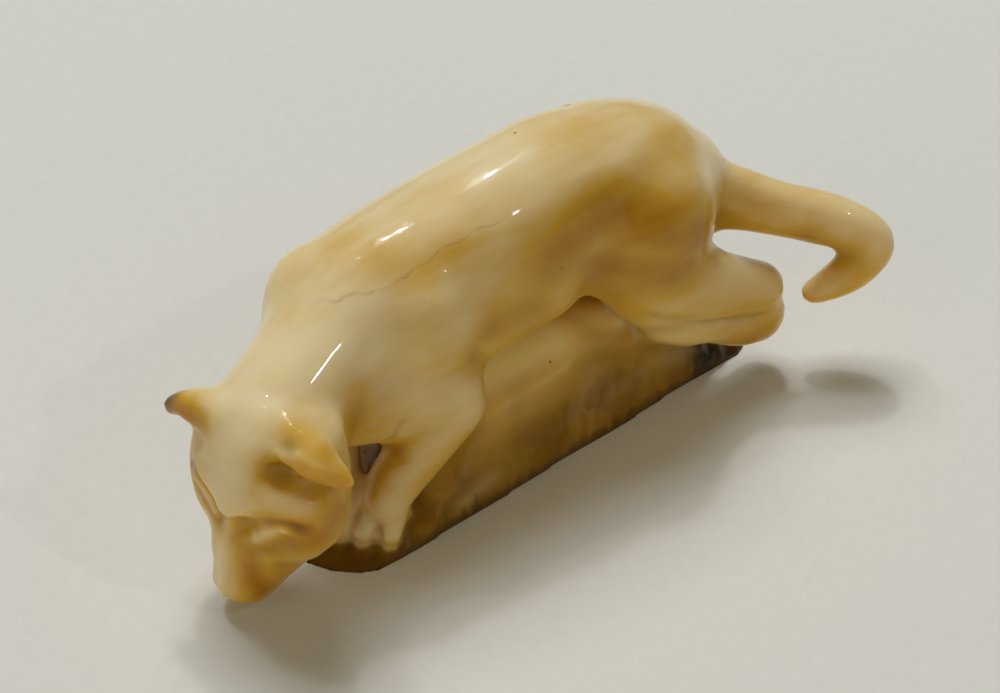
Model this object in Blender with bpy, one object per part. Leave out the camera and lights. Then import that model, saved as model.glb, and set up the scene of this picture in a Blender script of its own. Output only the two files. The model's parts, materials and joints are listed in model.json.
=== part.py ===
"""A carved netsuke: a big cat prowling over a rock, cut from one piece of ivory-like tooth or bone.

The cat faces -X and its left flank faces -Y. Z is up, and the origin is the middle of the rock's
flat underside. The forms are blocked out as a carver would: big masses first, then limbs, then the head's
details and the rock.
"""

import math

import bmesh
import bpy
from mathutils import Matrix, Vector, kdtree

# The driving size: nose to the bend of the tail, in metres
LENGTH = 0.0615

# The pose is drawn in millimetres of a cat 61.5 mm long, and is scaled with LENGTH
DRAWN_LENGTH = 61.5
UNIT = LENGTH / DRAWN_LENGTH

# Dark-toned ivory, polished by handling
IVORY_COLOUR = (0.62, 0.45, 0.22, 1.0)
IVORY_ROUGHNESS = 0.28

# How finely the masses are fused
COARSE_VOXEL = 0.40 * UNIT
FINE_VOXEL = 0.28 * UNIT
MASS_FILLET = 1.8 * UNIT
LIMB_FILLET = 0.55 * UNIT
ROCK_FILLET = 0.25 * UNIT

# How many times each fused skin is smoothed
MASS_SMOOTHING = 8
LIMB_SMOOTHING = 5
ROCK_SMOOTHING = 3

NAME = "prowling_cat_on_rock"
RING_SIDES = 28
RINGS_PER_SPAN = 6
DOME_RINGS = 5
TRIANGLES = 9000


def clear_scene():
    for obj in list(bpy.data.objects):
        bpy.data.objects.remove(obj)


def catmull_rom(a, b, c, d, t):
    """The value between b and c at share t, for numbers in equal-length lists."""
    return [
        0.5 * (2 * q + (r - p) * t + (2 * p - 5 * q + 4 * r - s) * t * t + (3 * q - p - 3 * r + s) * t ** 3)
        for p, q, r, s in zip(a, b, c, d)
    ]


def smooth_stations(stations, steps=RINGS_PER_SPAN):
    """Stations on a smooth curve through the given ones."""
    ends = [stations[0], *stations, stations[-1]]
    fine = []
    for i in range(len(stations) - 1):
        fine += [catmull_rom(*ends[i : i + 4], k / steps) for k in range(steps)]
    fine.append(list(stations[-1]))
    return fine


def ring(bm, centre, wide, deep, half_width, half_depth, fullness):
    """One closed ring of vertices around centre: an ellipse, or a fuller oval where fullness is over 2."""
    found = []
    for k in range(RING_SIDES):
        angle = 2 * math.pi * k / RING_SIDES
        across = math.copysign(abs(math.cos(angle)) ** (2 / fullness), math.cos(angle))
        upward = math.copysign(abs(math.sin(angle)) ** (2 / fullness), math.sin(angle))
        found.append(bm.verts.new(centre + wide * (half_width * across) + deep * (half_depth * upward)))
    return found


def loft(stations, side, frame=Matrix.Identity(4), bluntness=1.0, fullness=2.0):
    """A closed form through stations of x, y, z, half width and half depth, all in drawn millimetres.

    The half width lies along side, and both ends are domed, less far where bluntness is small."""
    fine = smooth_stations([list(s) for s in stations])
    centres = [Vector(s[:3]) for s in fine]
    side = Vector(side)
    rings = []
    for i, s in enumerate(fine):
        before, after = centres[max(i - 1, 0)], centres[min(i + 1, len(centres) - 1)]
        along = (after - before).normalized()
        wide = (side - along * side.dot(along)).normalized()
        rings.append((centres[i], wide, along.cross(wide), s[3], s[4], along))

    def dome(end, sign):
        centre, wide, deep, a, b, along = end
        reach = bluntness * (a + b) / 2
        caps = []
        for k in range(1, DOME_RINGS + 1):
            angle = math.pi / 2 * k / (DOME_RINGS + 1)
            shrink = math.cos(angle)
            place = centre + along * (sign * reach * math.sin(angle))
            caps.append((place, wide, deep, a * shrink, b * shrink, along))
        return caps, centre + along * (sign * reach)

    first, first_pole = dome(rings[0], -1)
    last, last_pole = dome(rings[-1], 1)
    rings = first[::-1] + rings + last

    bm = bmesh.new()
    loops = [ring(bm, c, w, d, a, b, fullness) for c, w, d, a, b, _ in rings]
    for lower, upper in zip(loops, loops[1:]):
        for k in range(RING_SIDES):
            j = (k + 1) % RING_SIDES
            bm.faces.new((lower[k], lower[j], upper[j], upper[k]))
    for loop, pole in ((loops[0], first_pole), (loops[-1], last_pole)):
        tip = bm.verts.new(pole)
        for k in range(RING_SIDES):
            bm.faces.new((loop[k], loop[(k + 1) % RING_SIDES], tip))
    bmesh.ops.recalc_face_normals(bm, faces=bm.faces)
    bmesh.ops.transform(bm, matrix=Matrix.Scale(UNIT, 4) @ frame, verts=bm.verts)
    return bm


def ellipsoid(centre, radii, turn=(0, 0, 0), frame=Matrix.Identity(4)):
    """An ellipsoid in drawn millimetres, turned by Euler angles in degrees."""
    bm = bmesh.new()
    bmesh.ops.create_icosphere(bm, subdivisions=4, radius=1.0)
    turned = Matrix.Identity(4)
    for angle, axis in zip(turn, "XYZ"):
        turned = Matrix.Rotation(math.radians(angle), 4, axis) @ turned
    place = Matrix.Translation(centre) @ turned @ Matrix.Diagonal((*radii, 1.0))
    bmesh.ops.transform(bm, matrix=Matrix.Scale(UNIT, 4) @ frame @ place, verts=bm.verts)
    return bm


def mesh_of(forms, name):
    """One mesh that holds every form, still as separate shells."""
    whole = bmesh.new()
    for form in forms:
        if isinstance(form, bpy.types.Mesh):
            whole.from_mesh(form)
            continue
        part = bpy.data.meshes.new(name + "_part")
        form.to_mesh(part)
        form.free()
        whole.from_mesh(part)
        bpy.data.meshes.remove(part)
    mesh = bpy.data.meshes.new(name)
    whole.to_mesh(mesh)
    whole.free()
    return mesh


def evaluated(obj, name):
    """The object's mesh with its modifiers applied. The object itself is removed."""
    depsgraph = bpy.context.evaluated_depsgraph_get()
    mesh = bpy.data.meshes.new_from_object(obj.evaluated_get(depsgraph))
    mesh.name = name
    bpy.data.objects.remove(obj)
    return mesh


def fuse(forms, name, voxel, fillet, smooth):
    """Every form in one skin, its inner corners rounded by swelling and shrinking by the fillet's radius."""
    obj = in_scene(name, mesh_of(forms, name))

    def remesh():
        step = obj.modifiers.new("One skin", "REMESH")
        step.mode = "VOXEL"
        step.voxel_size = voxel

    def swell(distance):
        step = obj.modifiers.new("Swell", "DISPLACE")
        step.mid_level = 0
        step.strength = distance

    remesh()
    swell(fillet)
    remesh()
    swell(-fillet)
    remesh()
    polish = obj.modifiers.new("Polish", "SMOOTH")
    polish.factor = 0.5
    polish.iterations = smooth
    return evaluated(obj, name)


# The cat, in drawn millimetres. Each side is -1 for the near, left side and 1 for the far one

LATERAL = (0, 1, 0)
FAR_LEG_BACK = -1.2
NEAR_SHOULDER = (-10.5, 3.8, 16.6)
FAR_SHOULDER = (-15.2, 4.0, 17.2)


def torso():
    """Rump, loin, belly, chest and neck in one sweep along the spine."""
    return loft(
        (
            (19.2, -1.4, 15.0, 3.1, 3.6),
            (17.3, -0.9, 16.1, 4.8, 5.4),
            (14.5, -0.3, 17.1, 5.9, 6.8),
            (10.5, 0.1, 18.9, 6.4, 7.2),
            (5.0, 0.3, 20.0, 6.3, 7.1),
            (-1.5, 0.5, 19.1, 6.5, 7.5),
            (-8.5, 0.9, 17.9, 6.7, 7.5),
            (-13.5, 0.8, 17.1, 6.4, 7.3),
            (-17.0, -0.1, 16.5, 5.5, 6.2),
            (-19.5, -1.0, 16.1, 4.9, 5.4),
            (-22.8, -2.0, 15.3, 4.7, 5.0),
        ),
        LATERAL,
        fullness=2.2,
    )


def belly():
    """The low flank between elbow and groin, nearly straight below."""
    return loft(
        (
            (-8.5, -1.3, 15.6, 5.2, 3.6),
            (-4.5, -1.2, 15.9, 5.3, 3.7),
            (-1.5, -1.0, 16.1, 5.4, 3.7),
            (1.0, -0.9, 16.3, 5.5, 3.8),
            (2.4, -0.8, 16.9, 5.1, 3.4),
        ),
        LATERAL,
        bluntness=0.4,
    )


def breast():
    """The low front of the chest, between the forelegs."""
    return ellipsoid((-16.6, -2.2, 12.6), (3.4, 3.2, 3.4))


def thigh(side, back):
    """The rounded upper hind leg, set back by the given distance."""
    return ellipsoid((11.0 + back, side * 4.0, 16.9), (6.2, 4.5, 7.0), (0, 20, 0))


def shank(side, back):
    """The folded lower leg, running back from the knee to the heel."""
    return loft(
        (
            (7.8 + back, side * 4.9, 15.0, 2.8, 2.8),
            (10.0 + back, side * 5.7, 13.2, 2.9, 3.9),
            (13.5 + back, side * 6.2, 11.5, 2.7, 3.8),
            (17.3 + back, side * 6.6, 9.5, 2.4, 3.1),
            (20.8 + back, side * 7.05, 7.8, 2.25, 2.6),
        ),
        LATERAL,
    )


def hind_foot(side, back):
    """Lies along the rock, from the heel forward to the toes."""
    return loft(
        (
            (21.15 + back, side * 7.05, 5.2, 2.25, 2.7),
            (18.6 + back, side * 6.9, 5.4, 2.1, 2.0),
            (15.0 + back, side * 6.3, 7.2, 1.9, 1.8),
            (11.6 + back, side * 5.6, 8.8, 1.8, 1.6),
        ),
        LATERAL,
    )


def shoulder(side, centre):
    """The shoulder blade's long swell, leaning forward."""
    return ellipsoid((centre[0], side * centre[1], centre[2]), (4.6, 3.0, 6.4), (0, -12, 0))


def tail():
    """Swings out to the cat's left, then hooks down and back in towards the heel."""
    return loft(
        (
            (16.3, -0.2, 15.9, 2.6, 3.8),
            (19.6, -2.6, 15.6, 2.2, 3.2),
            (23.6, -6.3, 14.4, 1.95, 2.5),
            (27.3, -9.7, 13.15, 1.95, 2.35),
            (29.2, -11.5, 11.2, 1.95, 2.1),
            (28.0, -10.8, 8.6, 1.85, 1.8),
            (26.3, -9.6, 7.0, 1.45, 1.4),
            (25.4, -8.9, 6.35, 1.15, 1.1),
        ),
        (0.66, 0.75, 0),
        bluntness=0.8,
    )


def near_foreleg():
    """Upper arm back to the elbow, then the forearm reaching forward and down to the paw."""
    upper = loft(
        (
            (-15.5, -4.0, 14.0, 2.4, 3.8),
            (-12.4, -5.0, 12.6, 2.3, 3.7),
            (-9.8, -5.5, 11.6, 2.1, 3.3),
        ),
        LATERAL,
    )
    lower = loft(
        (
            (-9.8, -5.6, 11.0, 2.1, 3.1),
            (-12.3, -5.2, 8.5, 2.2, 2.7),
            (-14.8, -4.9, 5.9, 2.15, 2.2),
            (-16.1, -4.8, 4.2, 2.05, 1.8),
        ),
        LATERAL,
    )
    return [upper, lower]


def far_foreleg():
    """The far leg crosses inward, so its paw stands beside the near one."""
    upper = loft(
        (
            (-17.5, 3.2, 14.5, 2.4, 3.4),
            (-15.0, 4.2, 12.5, 2.2, 3.0),
            (-13.2, 4.4, 10.8, 2.0, 2.2),
        ),
        LATERAL,
    )
    lower = loft(
        (
            (-13.2, 4.2, 10.4, 2.0, 2.2),
            (-15.4, 1.8, 6.8, 1.8, 1.9),
            (-17.4, -0.8, 3.8, 1.7, 1.7),
            (-18.2, -1.8, 3.0, 1.6, 1.4),
        ),
        LATERAL,
    )
    return [upper, lower]


# Where each toe starts and ends: x, y at its root, and x, y at its tip
NEAR_TOES = ((-15.4, -5.7, -16.6, -6.3), (-16.2, -4.4, -18.1, -4.6))
FAR_TOES = ((-17.7, -2.6, -19.3, -3.0), (-18.0, -1.2, -20.0, -1.3))


def toes(places):
    """Short rounded toes in a fan."""
    return [
        loft(((xa, ya, 3.2, 1.1, 1.2), (xb, yb, 2.1, 1.05, 0.95)), LATERAL)
        for xa, ya, xb, yb in places
    ]


# The head, in a frame of its own: X to the nose, Y to its left, Z to its crown

HEAD_ORIGIN = Vector((-24.86, -3.95, 13.5))
HEAD_FORWARD = Vector((-0.365, 0.0, -0.931)).normalized()
HEAD_LEFT = Vector((0.28, -0.96, 0.0)).normalized()


# Which side each ear is on, where its middle and its tip are, and how blunt the tip is
EARS = (
    (-1, (-1.2, 6.1, 2.5), (-0.4, 8.2, 2.3), 1.0),
    (1, (-2.4, 4.9, 2.9), (-1.6, 6.8, 1.3), 0.8),
)


def head_frame():
    """From the head's own frame to the cat's."""
    left = (HEAD_LEFT - HEAD_FORWARD * HEAD_LEFT.dot(HEAD_FORWARD)).normalized()
    up = HEAD_FORWARD.cross(left)
    turned = Matrix((HEAD_FORWARD, left, up)).transposed().to_4x4()
    return Matrix.Translation(HEAD_ORIGIN) @ turned


def head():
    """Skull with broad cheeks, square muzzle, brow ridge and ears laid back."""
    frame = head_frame()
    skull = loft(
        (
            (-3.4, -0.2, 0.2, 5.0, 3.8),
            (-1.0, -0.1, 0.2, 6.1, 4.6),
            (2.0, -0.2, -0.4, 6.8, 4.6),
            (4.5, -0.5, -1.2, 6.6, 4.0),
            (6.8, -0.5, -1.9, 5.4, 3.5),
            (8.3, -0.5, -2.0, 4.2, 3.1),
        ),
        (0, 1, 0),
        frame,
        bluntness=0.5,
    )
    muzzle = loft(
        (
            (4.5, -0.3, -0.6, 3.4, 3.6),
            (7.2, -0.2, -1.0, 3.5, 3.4),
            (9.5, -0.2, -1.2, 3.1, 3.0),
            (11.4, -0.3, -1.0, 2.4, 2.4),
            (12.3, -0.3, -0.8, 2.2, 2.1),
        ),
        (0, 1, 0),
        frame,
        bluntness=0.35,
        fullness=2.6,
    )
    brow = loft(
        (
            (2.4, -4.8, 0.9, 1.0, 1.0),
            (2.6, -2.5, 2.7, 1.1, 1.1),
            (3.0, -0.2, 3.2, 1.1, 1.1),
            (2.6, 2.1, 2.7, 1.1, 1.1),
            (2.4, 4.4, 0.9, 1.0, 1.0),
        ),
        (1, 0, 0),
        frame,
    )
    ears = [
        loft(
            (
                (-2.0, side * 3.0, 2.7, 2.3, 1.7),
                (base[0], side * base[1], base[2], 1.9, 1.4),
                (tip[0], side * tip[1], tip[2], blunt, 0.9 * blunt),
            ),
            (1, 0, 0),
            frame,
        )
        for side, base, tip, blunt in EARS
    ]
    return [skull, muzzle, brow, *ears]


# The rock

# x and y of points around the rock's foot
ROCK_OUTLINE = (
    (-18.8, -7.2), (-12.0, -7.1), (-6.0, -6.9), (0.5, -6.5), (7.0, -6.4), (13.0, -5.9),
    (18.0, -5.8), (21.8, -5.4), (22.8, -1.5), (20.5, 4.6), (14.0, 6.2), (6.0, 6.7),
    (-3.0, 6.5), (-11.0, 6.2), (-17.5, 4.8), (-21.4, 1.0), (-22.4, -3.2),
)
# x and height of points along the rock's ridge, front to rear
ROCK_RIDGE = (
    (-18.0, 0.9), (-15.5, 1.3), (-11.0, 7.6), (-6.0, 11.0), (2.0, 10.8), (7.0, 10.6),
    (11.0, 9.2), (16.0, 4.8), (21.0, 1.4),
)
ROCK_SKIRT = 2.0  # how far the block runs below ground before it is cut level
ROCK_LEVELS = 14
STEEPNESS = 0.72  # under 1 makes steep flanks and a blunt top
FRONT_SLOPE = (-6.0, -14.0)  # between these the flank eases to a gentler slope
FRONT_EASE = 0.9
SPINE_END = 17.0
SPINE_SIDE = -0.2


def ridge_height(x):
    """Height of the rock's top at x, eased between the ridge's points."""
    x = max(ROCK_RIDGE[0][0], min(ROCK_RIDGE[-1][0], x))
    for (xa, za), (xb, zb) in zip(ROCK_RIDGE, ROCK_RIDGE[1:]):
        if x <= xb:
            t = (x - xa) / (xb - xa)
            return za + (zb - za) * t * t * (3 - 2 * t)
    return ROCK_RIDGE[-1][1]


def rock():
    """A block with steep flanks and a blunt top that slopes to the rear, and a low shelf for the forepaws."""
    count = len(ROCK_OUTLINE)
    closed = [ROCK_OUTLINE[(i - 1) % count] for i in range(count + 3)]
    outline = []
    for i in range(count):
        outline += [catmull_rom(*closed[i : i + 4], k / RINGS_PER_SPAN) for k in range(RINGS_PER_SPAN)]
    bm = bmesh.new()
    loops = [[bm.verts.new((x, y, -ROCK_SKIRT)) for x, y in outline]]
    for level in range(ROCK_LEVELS):
        angle = math.pi / 2 * level / ROCK_LEVELS
        rise = math.sin(angle) ** STEEPNESS
        loop = []
        for x, y in outline:
            front = max(0.0, min(1.0, (FRONT_SLOPE[0] - x) / (FRONT_SLOPE[0] - FRONT_SLOPE[1])))
            shrink = math.cos(angle) ** (STEEPNESS + FRONT_EASE * front)
            spine = max(-SPINE_END, min(SPINE_END, x))
            px = spine + (x - spine) * shrink
            py = SPINE_SIDE + (y - SPINE_SIDE) * shrink
            loop.append(bm.verts.new((px, py, rise * ridge_height(px))))
        loops.append(loop)
    for lower, upper in zip(loops, loops[1:]):
        for k in range(len(outline)):
            j = (k + 1) % len(outline)
            bm.faces.new((lower[k], lower[j], upper[j], upper[k]))
    bm.faces.new(loops[0][::-1])
    bm.faces.new(loops[-1])
    bmesh.ops.triangulate(bm, faces=[f for f in bm.faces if len(f.verts) > 4])
    bmesh.ops.recalc_face_normals(bm, faces=bm.faces)
    bmesh.ops.transform(bm, matrix=Matrix.Scale(UNIT, 4), verts=bm.verts)
    return bm


# Fine carving: soft presses and grooves in the fused skin. Each has the path it follows, its reach along
# the three axes, its height, negative where it presses in, and how square it is in section
BODY_PRESSES = (
    (((18.7, -3.2, 18.0), (18.5, -4.2, 15.6), (18.1, -5.0, 13.2)), (0.8, 0.8, 0.8), -0.5, 2),
    (((-16.0, -4.4, 17.0),), (2.2, 2.2, 3.2), -0.35, 2),
    (
        ((8.6, -7.9, 11.7), (13.6, -8.2, 8.7), (17.6, -8.6, 7.3), (19.4, -8.8, 6.9)),
        (0.5, 0.9, 0.5), -0.25, 2,
    ),
)
PAW_PRESSES = (
    (((-15.9, -5.6, 3.6), (-17.6, -6.0, 2.0)), (0.35, 0.35, 0.7), -0.35, 2),
    (((-18.3, -2.0, 3.4), (-20.2, -2.1, 2.0)), (0.35, 0.35, 0.6), -0.3, 2),
)
ROCK_PRESSES = (
    (((-7.6, -7.2, 8.4), (-12.3, -7.3, 4.4), (-14.6, -7.4, 2.6)), (0.9, 1.0, 0.9), -0.55, 2),
    (((4.5, -6.0, 6.5),), (3.4, 2.5, 2.8), -0.9, 2),
    (((9.0, -6.0, 4.0),), (3.2, 2.5, 2.0), -0.6, 2),
    (((9.6, -5.4, 8.0), (12.6, -6.2, 6.2)), (2.2, 1.8, 1.6), 0.8, 2),
    (((-8.0, -6.0, 3.5),), (2.4, 2.4, 2.4), -0.4, 2),
)
# Past this many reaches from its path a press no longer moves the skin
FADED = 2.5

HEAD_PRESSES = (
    (((4.4, 1.4, 2.6), (4.5, 3.4, 1.0)), (1.2, 1.1, 1.9), -0.95, 4),
    (((4.4, -2.6, 2.4), (4.5, -4.0, 1.0)), (1.1, 1.0, 1.7), -0.6, 4),
    (((4.5, 2.5, 1.4),), (0.6, 1.2, 1.2), 0.5, 2),
    (((4.5, -3.3, 1.4),), (0.6, 1.1, 1.2), 0.4, 2),
    (((-1.2, 3.4, 3.4), (-0.9, 5.3, 2.3)), (1.0, 1.0, 1.4), -1.3, 3),
    (((-2.8, 3.0, 3.9), (-2.6, 5.2, 3.0), (-1.9, 6.9, 1.4)), (0.6, 0.6, 0.8), 0.35, 2),
    (((0.2, -4.6, 2.9), (0.2, -6.6, 2.4)), (0.9, 1.0, 1.2), -0.6, 3),
    (((7.6, 3.6, -1.4),), (1.0, 1.2, 1.6), -0.25, 2),
    (((7.6, -4.0, -1.4),), (1.0, 1.2, 1.6), -0.25, 2),
)


def carve(mesh, presses, frame=Matrix.Identity(4)):
    """Moves the skin along its normals beside each path, most on the path itself."""
    to_frame = (Matrix.Scale(UNIT, 4) @ frame).inverted()
    for path, reach, height, squareness in presses:
        points = smooth_stations([list(p) for p in path]) if len(path) > 1 else path
        nearest = kdtree.KDTree(len(points))
        for i, point in enumerate(points):
            nearest.insert([p / r for p, r in zip(point, reach)], i)
        nearest.balance()
        moves = []
        for vertex in mesh.vertices:
            place = to_frame @ vertex.co
            share = nearest.find([p / r for p, r in zip(place, reach)])[2]
            if share < FADED:
                moves.append((vertex, vertex.normal * (height * UNIT * math.exp(-(share**squareness)))))
        for vertex, move in moves:
            vertex.co += move


def flat_underside(bm):
    """Cuts the form off level at the ground."""
    everything = [*bm.verts, *bm.edges, *bm.faces]
    cut = bmesh.ops.bisect_plane(bm, geom=everything, plane_no=(0, 0, -1), clear_outer=True)
    edges = [e for e in cut["geom_cut"] if isinstance(e, bmesh.types.BMEdge)]
    bmesh.ops.edgeloop_fill(bm, edges=edges)


def carved_ivory():
    material = bpy.data.materials.new("carved_ivory")
    material.use_nodes = True
    shader = material.node_tree.nodes["Principled BSDF"]
    shader.inputs["Base Color"].default_value = IVORY_COLOUR
    shader.inputs["Roughness"].default_value = IVORY_ROUGHNESS
    shader.inputs["Metallic"].default_value = 0.0
    return material


def in_scene(name, mesh):
    obj = bpy.data.objects.new(name, mesh)
    bpy.context.scene.collection.objects.link(obj)
    return obj


def main():
    clear_scene()
    masses = [torso(), belly(), breast(), thigh(-1, 0), thigh(1, FAR_LEG_BACK)]
    masses += [shoulder(-1, NEAR_SHOULDER), shoulder(1, FAR_SHOULDER)]
    body = fuse(masses, "masses", COARSE_VOXEL, MASS_FILLET, MASS_SMOOTHING)
    limbs = [tail(), shank(-1, 0), shank(1, FAR_LEG_BACK), *near_foreleg(), *far_foreleg()]
    figure = fuse([body, *limbs, *head()], "figure", FINE_VOXEL, LIMB_FILLET, LIMB_SMOOTHING)
    feet = [hind_foot(-1, 0), hind_foot(1, FAR_LEG_BACK), *toes(NEAR_TOES), *toes(FAR_TOES)]
    whole = fuse([figure, rock(), *feet], NAME, FINE_VOXEL, ROCK_FILLET, ROCK_SMOOTHING)

    carve(whole, HEAD_PRESSES, head_frame())
    for presses in (BODY_PRESSES, PAW_PRESSES, ROCK_PRESSES):
        carve(whole, presses)

    full = in_scene(NAME, whole)
    thin = full.modifiers.new("Fewer faces", "DECIMATE")
    thin.ratio = TRIANGLES / (2 * len(whole.polygons))
    thinned = evaluated(full, NAME)
    bm = bmesh.new()
    bm.from_mesh(thinned)
    flat_underside(bm)
    bmesh.ops.triangulate(bm, faces=bm.faces)
    bm.to_mesh(thinned)
    bm.free()
    thinned.polygons.foreach_set("use_smooth", [True] * len(thinned.polygons))
    thinned.materials.append(carved_ivory())
    in_scene(NAME, thinned)


main()
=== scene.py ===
# %% [markdown]
# # A netsuke: a big cat prowling over a rock
#
# A netsuke is a small carving that once held a pouch at a belt. This one is cut from a single piece of
# ivory-like tooth or bone: a smooth big cat creeps head down over a rough rock. The lesson takes the plain
# carved solid, refines its skin, cuts the fine carving into it, stains it and polishes it.

# %% The frame
import json
import math

import bmesh
import bpy
import numpy as np
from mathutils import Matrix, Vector
from mathutils.bvhtree import BVHTree

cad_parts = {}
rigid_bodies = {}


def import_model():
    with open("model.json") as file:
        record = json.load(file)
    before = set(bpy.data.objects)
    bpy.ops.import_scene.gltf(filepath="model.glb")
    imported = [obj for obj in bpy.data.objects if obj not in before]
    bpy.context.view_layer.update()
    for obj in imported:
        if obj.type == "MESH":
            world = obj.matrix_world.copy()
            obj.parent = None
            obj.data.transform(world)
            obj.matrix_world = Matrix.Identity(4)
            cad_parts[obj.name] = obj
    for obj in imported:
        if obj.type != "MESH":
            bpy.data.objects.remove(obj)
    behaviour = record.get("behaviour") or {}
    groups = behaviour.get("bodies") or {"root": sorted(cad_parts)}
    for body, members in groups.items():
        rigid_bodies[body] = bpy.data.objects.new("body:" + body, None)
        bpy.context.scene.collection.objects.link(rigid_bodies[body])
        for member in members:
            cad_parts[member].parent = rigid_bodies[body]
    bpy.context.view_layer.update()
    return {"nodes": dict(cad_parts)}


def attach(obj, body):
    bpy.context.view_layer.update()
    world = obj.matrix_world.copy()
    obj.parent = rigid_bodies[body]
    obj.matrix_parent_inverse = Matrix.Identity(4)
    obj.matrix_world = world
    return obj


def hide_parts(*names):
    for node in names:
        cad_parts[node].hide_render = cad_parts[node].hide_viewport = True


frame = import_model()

MM = 0.001
CARVING = "prowling_cat_on_rock"

# %% [markdown]
# ## A fine, even skin
#
# The solid's skin has broad triangles of many sizes. Fine carving needs small, even faces, as a carver needs
# stone or tusk that is sound all through. A merged copy is remeshed in small squares, and the flat facets
# are smoothed away without shrinking the form: each smoothing step is followed by one that swells it back.

# %% A merged copy of the solid, remeshed
SKIN = 0.285 * MM


def applied(obj):
    """Replaces the object's mesh by its evaluated one and removes its modifiers."""
    depsgraph = bpy.context.evaluated_depsgraph_get()
    plain = bpy.data.meshes.new_from_object(obj.evaluated_get(depsgraph))
    obj.modifiers.clear()
    obj.data = plain


merged = bmesh.new()
merged.from_mesh(frame["nodes"][CARVING].data)
bmesh.ops.remove_doubles(merged, verts=merged.verts, dist=0.000001)
skin = bpy.data.meshes.new("cat_and_rock")
merged.to_mesh(skin)
merged.free()
cat = bpy.data.objects.new("cat_and_rock", skin)
bpy.context.scene.collection.objects.link(cat)
squares = cat.modifiers.new("Small squares", "REMESH")
squares.mode = "VOXEL"
squares.voxel_size = SKIN
applied(cat)
print("skin:", len(cat.data.vertices), "points")


# %% Reading, writing and smoothing the skin, in millimetres
def read_points():
    """The skin's points, one row each."""
    flat = np.empty(3 * len(cat.data.vertices))
    cat.data.vertices.foreach_get("co", flat)
    return flat.reshape(-1, 3) / MM


def write_points(points):
    cat.data.vertices.foreach_set("co", (points * MM).ravel())
    cat.data.update()


def normals():
    flat = np.empty(3 * len(cat.data.vertices))
    cat.data.vertex_normals.foreach_get("vector", flat)
    return flat.reshape(-1, 3)


def neighbour_pairs():
    """The two points of every edge."""
    flat = np.empty(2 * len(cat.data.edges), dtype=np.int64)
    cat.data.edges.foreach_get("vertices", flat)
    return flat.reshape(-1, 2)


def relaxed(values, pairs, rounds, shares=(0.5,)):
    """Moves each row of values by a share of the way to its neighbours' mean, taking the shares in turn."""
    a, b = pairs.T
    count = len(values)
    degree = np.bincount(a, minlength=count) + np.bincount(b, minlength=count)
    for _ in range(rounds):
        for share in shares:
            sums = [
                np.bincount(a, column[b], count) + np.bincount(b, column[a], count)
                for column in values.T
            ]
            values = values + share * (np.stack(sums, axis=1) / degree[:, None] - values)
    return values


SKIN_ROUNDS = 12
KEEP_VOLUME = (0.5, -0.52)
GROUND_BAND = 0.15
points = read_points()
ground = points[:, 2] < GROUND_BAND
points = relaxed(points, neighbour_pairs(), SKIN_ROUNDS, KEEP_VOLUME)
points[ground, 2] = 0.0
write_points(points)
print("smoothed skin:", int(ground.sum()), "points stand on the ground")

# %% [markdown]
# ## The head's own frame
#
# The head hangs and turns, so its details are placed in a frame of its own, as a carver turns the work in the
# hand: forward to the nose, left, and up to the crown. Paths given in that frame are carried to the carving.

# %% The head's frame and finer faces where the carving is finest
HEAD_ORIGIN = np.array((-24.86, -3.95, 13.5))
TO_THE_NOSE = np.array((-0.365, 0.0, -0.931))
TO_THE_LEFT = np.array((0.28, -0.96, 0.0))
forward = TO_THE_NOSE / np.linalg.norm(TO_THE_NOSE)
left = TO_THE_LEFT - forward * TO_THE_LEFT.dot(forward)
left /= np.linalg.norm(left)
HEAD = np.stack((forward, left, np.cross(forward, left)))


def in_head(points):
    """The points in the head's frame: forward, left and up from the middle of the head."""
    return (points - HEAD_ORIGIN) @ HEAD.T


def smooth_path(path, steps=6):
    """A smooth curve through the path's points, as a carver's stroke."""
    path = np.array(path, float)
    if len(path) == 1:
        return path
    ends = np.vstack((path[:1], path, path[-1:]))
    fine = []
    for p, q, r, s in zip(ends, ends[1:], ends[2:], ends[3:]):
        for t in np.arange(steps) / steps:
            bend = (2 * p - 5 * q + 4 * r - s) * t**2 + (3 * q - p - 3 * r + s) * t**3
            fine.append(0.5 * (2 * q + (r - p) * t + bend))
    fine.append(path[-1])
    return np.array(fine)


def nearness(points, path, reach, squareness=2):
    """1 on the path, fading to 0 past its reach. Squareness over 2 gives a flat middle and a crisp edge."""
    reach = np.array(reach, float)
    closest = np.full(len(points), np.inf)
    for station in smooth_path(path) / reach:
        closest = np.minimum(closest, ((points / reach - station) ** 2).sum(axis=1))
    return np.exp(-(closest ** (squareness / 2)))


AT_REACH = math.exp(-1)
FINE_PLACES = (
    # near eye, far eye
    (((4.5, 2.8, 2.0),), (3.2, 3.2, 2.6)),
    (((4.5, -3.4, 2.0),), (3.0, 2.8, 2.6)),
    # near ear, far ear
    (((-1.8, 4.8, 3.0),), (2.8, 3.2, 3.0)),
    (((-1.0, -6.0, 3.0),), (2.6, 3.2, 2.6)),
    # nose and mouth, and the near forepaw
    (((12.0, -0.4, -1.0),), (2.4, 3.2, 3.2)),
    (((8.0, 4.2, -9.4),), (2.6, 3.4, 2.4)),
)


def refine(places):
    """Cuts the skin's squares in four near the given places."""
    at_head = in_head(read_points())
    near = np.zeros(len(at_head))
    for path, reach in places:
        near = np.maximum(near, nearness(at_head, path, reach))
    chosen = near > AT_REACH
    mesh = bmesh.new()
    mesh.from_mesh(cat.data)
    edges = [e for e in mesh.edges if chosen[e.verts[0].index] and chosen[e.verts[1].index]]
    bmesh.ops.subdivide_edges(mesh, edges=edges, cuts=1, use_grid_fill=True, smooth=0.0)
    mesh.to_mesh(cat.data)
    mesh.free()


refine(FINE_PLACES)
print("refined skin:", len(cat.data.vertices), "points,", len(cat.data.loop_triangles), "triangles")

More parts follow.
